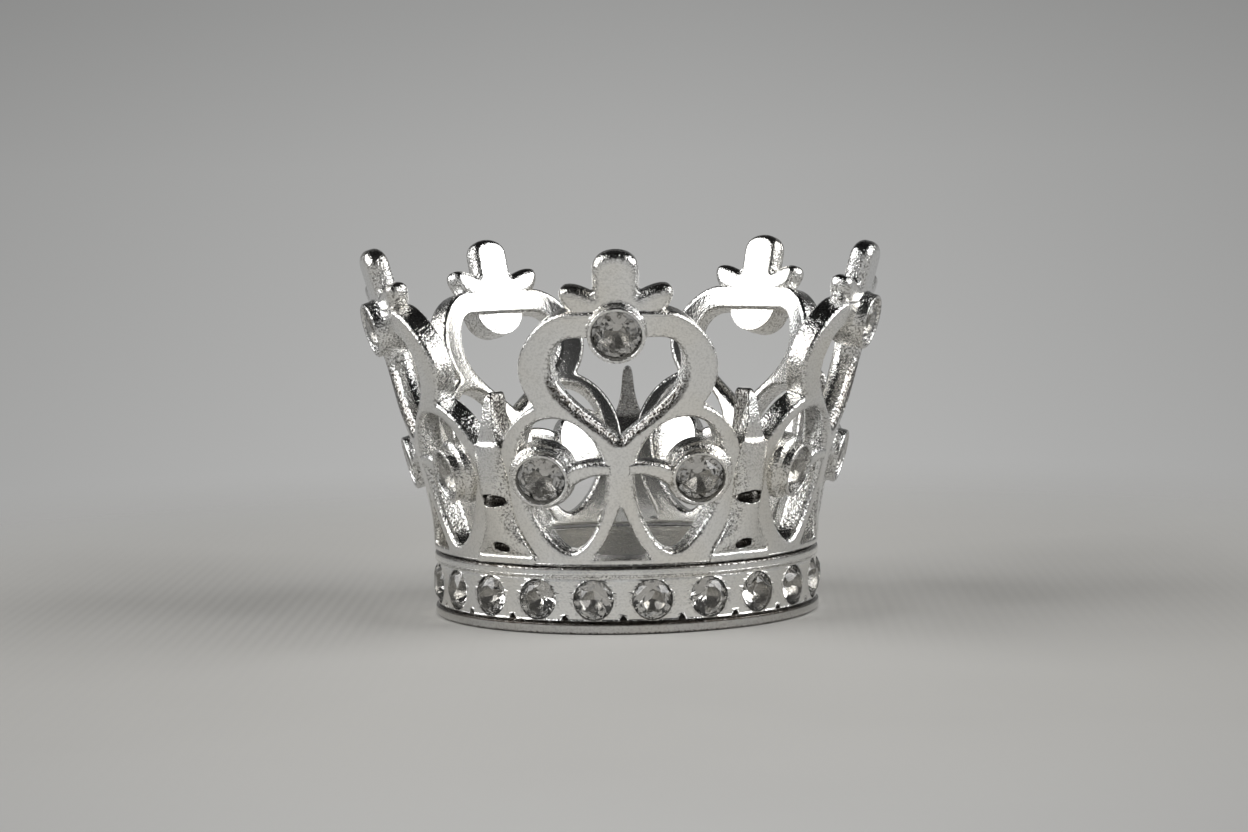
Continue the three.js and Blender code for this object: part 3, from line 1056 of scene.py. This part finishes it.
# Height, half width, and how far the front stands out from the wall
POST_SECTIONS = [
    (5.08, 2.7, -0.03), (5.55, 2.7, -0.03), (5.75, 2.55, -0.2), (6.2, 2.3, 0.3),
    (6.7, 2.05, 0.65), (7.2, 1.8, 0.8), (8.0, 1.5, 0.85), (9.0, 1.3, 0.85),
    (9.8, 1.3, 0.85), (10.5, 1.35, 0.93), (11.2, 1.4, 0.8), (12.0, 1.4, 0.6),
    (13.2, 1.3, 0.3), (13.8, 1.2, 0.12), (14.2, 1.02, -0.1), (14.6, 0.84, -0.2),
    (15.2, 0.68, -0.35), (15.8, 0.56, -0.55), (16.5, 0.48, -0.82), (17.2, 0.42, -1.08),
    (17.6, 0.34, -1.3), (17.9, 0.16, -1.6),
]
# Lens-shaped hollows in a post's face: height, mouth, half width, half height and depth
POST_HOLLOWS = ((6.35, 0.35, 0.75, 0.42, 1.1), (9.9, 0.75, 1.2, 0.48, 1.5))


def first_post():
    """The post right of the first heart, made facing -Y."""
    plate = wall().plate / MM
    bpy.ops.object.select_all(action="DESELECT")
    bpy.ops.mesh.primitive_plane_add(size=2)
    post = bpy.context.object
    sections = []
    for z, half, rise in POST_SECTIONS:
        front = -(float(wall_radius(z)) + rise)
        back = -(float(wall_radius(min(z, 14))) - plate)
        sections.append((z, half, front, back))
    z, half, front, back = sections[0]
    middle = (front + back) / 2
    place = Matrix.Translation((0, middle, z)) @ Matrix.Diagonal((half, (back - front) / 2, 1, 1))
    post.data.transform(place)
    edit_all(post)
    for before, after in zip(sections, sections[1:]):
        z0, half0, front0, back0 = before
        z1, half1, front1, back1 = after
        middle = (front1 + back1) / 2
        shift = (0, middle - (front0 + back0) / 2, z1 - z0)
        bpy.ops.mesh.extrude_region_move(TRANSFORM_OT_translate={"value": shift})
        scale = (half1 / half0, (back1 - front1) / (back0 - front0), 1)
        bpy.ops.transform.resize(value=scale, center_override=(0, middle, z1))
    leave_edit()
    tidy_mesh(post)
    use(post, "REMESH", mode="VOXEL", voxel_size=0.1)
    heights, halves, _ = zip(*POST_SECTIONS)
    points = coordinates(post)
    out = -points[:, 1] - wall_radius(points[:, 2])
    side = np.clip(np.abs(points[:, 0]) / np.interp(points[:, 2], heights, halves), 0, 1)
    points[:, 1] += np.maximum(out, 0) * side**3
    set_coordinates(post, points)
    for height, rise, half, half_height, depth in POST_HOLLOWS:
        bpy.ops.object.select_all(action="DESELECT")
        bpy.ops.mesh.primitive_uv_sphere_add(segments=48, ring_count=24)
        hollow = bpy.context.object
        mouth = -(float(wall_radius(height)) + rise)
        place = Matrix.Translation((0, mouth, height))
        hollow.data.transform(place @ Matrix.Diagonal((half, depth, half_height, 1)))
        combine(post, hollow, "DIFFERENCE")
    use(post, "REMESH", mode="VOXEL", voxel_size=0.09)
    use(post, "SMOOTH", factor=0.5, iterations=3)
    post.data.transform(Matrix.Rotation(PITCH / 2, 4, "Z"))
    return post


def post_painted_shade(around, height, depth, skin):
    """Painted shade in a post's hollows and on its inner side."""
    valley = around - PITCH / 2 * wall_radius(height)
    dark = np.zeros(len(height))
    for level, rise, half, half_height, _ in POST_HOLLOWS:
        reach = (valley / half) ** 2 + ((height - level) / half_height) ** 2
        # Painted shade inside the hollow.
        inside = np.clip((1.15 - reach) / 0.3, 0, 1) * (depth < rise - 0.08) * (depth > -1.2)
        dark = np.maximum(dark, 0.7 * inside)
    # Painted shade on the post's inner side, high up.
    return np.maximum(dark, 0.55 * (depth < -1.2) * (height > 12))


class CROWN_OT_valley_posts(bpy.types.Operator):
    """Add the posts between the hearts"""

    bl_idname = "object.crown_valley_posts"
    bl_label = "Add Valley Posts"

    def execute(self, context):
        post = first_post()
        only(post)
        bpy.ops.object.shade_smooth()
        mark_skin(post, painted_shade_by_place=post_painted_shade)
        place_castings(post, "cast_post", "valley_post")
        return {"FINISHED"}


# ---- Stage ----

FLOOR_RADIUS = 0.4
SOFTBOX_AZIMUTH = 80
SOFTBOX_ELEVATION = 31
SOFTBOX_DISTANCE = 0.5
SOFTBOX_SIZE = (0.46, 0.3)
CAMERA_YAW = math.radians(1.286)
CAMERA_TILT = math.radians(90 - 4.41)
CAMERA_ROLL = math.radians(-1.07)


def soft_light(name, azimuth, power):
    """A large soft light that points at the crown; azimuth 0 is in front, 90 on the right."""
    light = bpy.data.lights.new(name, "AREA")
    light.shape = "RECTANGLE"
    light.size, light.size_y = SOFTBOX_SIZE
    light.energy = power
    obj = bpy.data.objects.new(name, light)
    bpy.context.scene.collection.objects.link(obj)
    az, el = math.radians(azimuth), math.radians(SOFTBOX_ELEVATION)
    spot = Vector((math.sin(az) * math.cos(el), -math.cos(az) * math.cos(el), math.sin(el)))
    obj.location = RING_AXIS + spot * SOFTBOX_DISTANCE
    obj.rotation_euler = spot.to_track_quat("Z", "Y").to_euler()
    return obj


def surroundings(colour_low):
    """Pale grey backdrop all round, dimmer to each side. The metal and the stones mirror a
    studio that is dark overhead and dark in front above eye level."""
    world = bpy.data.worlds.new("Studio")
    bpy.context.scene.world = world
    world.use_nodes = True
    nodes, links = world.node_tree.nodes, world.node_tree.links
    background = nodes["Background"]
    low = list(colour_low)[:3]
    place = nodes.new("ShaderNodeTexCoord")
    split = nodes.new("ShaderNodeSeparateXYZ")
    links.new(place.outputs["Generated"], split.inputs[0])

    def ramp(stops):
        """Grey by height, from straight down at 0 to straight up at 1."""
        node = nodes.new("ShaderNodeValToRGB")
        elements = node.color_ramp.elements
        while len(elements) < len(stops):
            elements.new(0.5)
        for element, (position, share) in zip(elements, stops):
            element.position = position
            element.color = [c * share for c in low] + [1.0]
        links.new(level.outputs["Result"], node.inputs["Fac"])
        return node

    level = map_range(nodes, from_min=-1.0)
    links.new(split.outputs["Z"], level.inputs["Value"])
    shown = ramp([(0.44, 1.14), (0.5, 0.94), (0.525, 0.76), (0.6, 0.55), (1.0, 0.3)])
    behind = ramp([(0.44, 1.05), (0.5, 0.95), (0.6, 0.75), (0.72, 0.3), (0.8, 0.05), (1.0, 0.02)])
    front = ramp([(0.44, 1.0), (0.505, 1.2), (0.58, 1.0), (0.64, 0.1), (1.0, 0.02)])
    side = map_range(nodes, True, from_min=-0.6, from_max=0.1)
    links.new(split.outputs["Y"], side.inputs["Value"])
    mirrored = typed(nodes, "ShaderNodeMix", data_type="RGBA")
    links.new(side.outputs["Result"], mirrored.inputs["Factor"])
    links.new(front.outputs["Color"], mirrored.inputs["A"])
    links.new(behind.outputs["Color"], mirrored.inputs["B"])
    path = nodes.new("ShaderNodeLightPath")
    chosen = typed(nodes, "ShaderNodeMix", data_type="RGBA")
    links.new(path.outputs["Is Camera Ray"], chosen.inputs["Factor"])
    links.new(mirrored.outputs["Result"], chosen.inputs["A"])
    links.new(shown.outputs["Color"], chosen.inputs["B"])
    links.new(chosen.outputs["Result"], background.inputs["Color"])
    centred = typed(nodes, "ShaderNodeMath", operation="ADD")
    centred.inputs[1].default_value = 0.022
    links.new(split.outputs["X"], centred.inputs[0])
    aside = typed(nodes, "ShaderNodeMath", operation="ABSOLUTE")
    links.new(centred.outputs["Value"], aside.inputs[0])
    dimmed = map_range(nodes, True, from_max=0.28, to_min=0.99, to_max=0.76)
    links.new(aside.outputs["Value"], dimmed.inputs["Value"])
    links.new(dimmed.outputs["Result"], background.inputs["Strength"])


class CROWN_OT_stage(bpy.types.Operator):
    """Add the floor, the surroundings, the soft lights and the camera"""

    bl_idname = "scene.crown_stage"
    bl_label = "Add Stage"

    def execute(self, context):
        look = context.scene.crown_stage
        bpy.ops.object.select_all(action="DESELECT")
        bpy.ops.mesh.primitive_circle_add(vertices=96, radius=FLOOR_RADIUS, fill_type="NGON")
        floor = context.object
        floor.name = "pale_floor"
        floor.data.materials.append(pale_cloth())
        surroundings(look.backdrop)
        soft_light("left_softbox", -SOFTBOX_AZIMUTH, look.light_power)
        soft_light("right_softbox", SOFTBOX_AZIMUTH, look.light_power)
        camera = bpy.data.cameras.new("camera")
        camera.sensor_width = 36
        camera.lens = look.focal_length
        camera.clip_start = 0.005
        camera.clip_end = 20
        obj = bpy.data.objects.new("camera", camera)
        context.scene.collection.objects.link(obj)
        across, back = math.sin(CAMERA_YAW), -math.cos(CAMERA_YAW)
        distance = look.camera_distance
        spot = Vector((distance * across, distance * back, look.camera_height))
        aim = Matrix.Rotation(CAMERA_YAW, 4, "Z") @ Matrix.Rotation(CAMERA_TILT, 4, "X")
        aim = aim @ Matrix.Rotation(CAMERA_ROLL, 4, "Z")
        obj.matrix_world = Matrix.Translation(RING_AXIS + spot) @ aim
        context.scene.camera = obj
        context.scene.view_settings.view_transform = "Standard"
        return {"FINISHED"}


# ---- Panel and registration ----


class CROWN_PT_sidebar(bpy.types.Panel):
    """Sidebar that lists the crown's pieces"""

    bl_idname = "CROWN_PT_sidebar"
    bl_label = "Heart Crown"
    bl_space_type = "VIEW_3D"
    bl_region_type = "UI"
    bl_category = "Crown"

    def draw(self, context):
        for name in STEPS:
            self.layout.operator(name)


STEPS = (
    "object.crown_base_band",
    "object.crown_heart_panels",
    "object.crown_valley_posts",
    "object.crown_band_stones",
    "object.crown_heart_stones",
    "object.crown_side_stones",
    "scene.crown_stage",
)

CLASSES = (
    CrownWallSettings,
    CrownStoneSettings,
    CrownFinishSettings,
    CrownStageSettings,
    CROWN_OT_base_band,
    CROWN_OT_heart_panels,
    CROWN_OT_valley_posts,
    CROWN_OT_band_stones,
    CROWN_OT_heart_stones,
    CROWN_OT_side_stones,
    CROWN_OT_stage,
    CROWN_PT_sidebar,
)

SETTINGS = (
    ("crown_wall", CrownWallSettings),
    ("crown_stones", CrownStoneSettings),
    ("crown_finish", CrownFinishSettings),
    ("crown_stage", CrownStageSettings),
)


def register():
    """Registers the classes and the settings."""
    for item in CLASSES:
        bpy.utils.register_class(item)
    for name, kind in SETTINGS:
        setattr(bpy.types.Scene, name, bpy.props.PointerProperty(type=kind))


def unregister():
    """Removes the settings and the classes."""
    for name, kind in SETTINGS:
        delattr(bpy.types.Scene, name)
    for item in reversed(CLASSES):
        bpy.utils.unregister_class(item)


def main():
    """Builds the crown and its stage."""
    register()
    for name in STEPS:
        space, operator = name.split(".")
        getattr(getattr(bpy.ops, space), operator)()


if __name__ == "__main__":
    main()
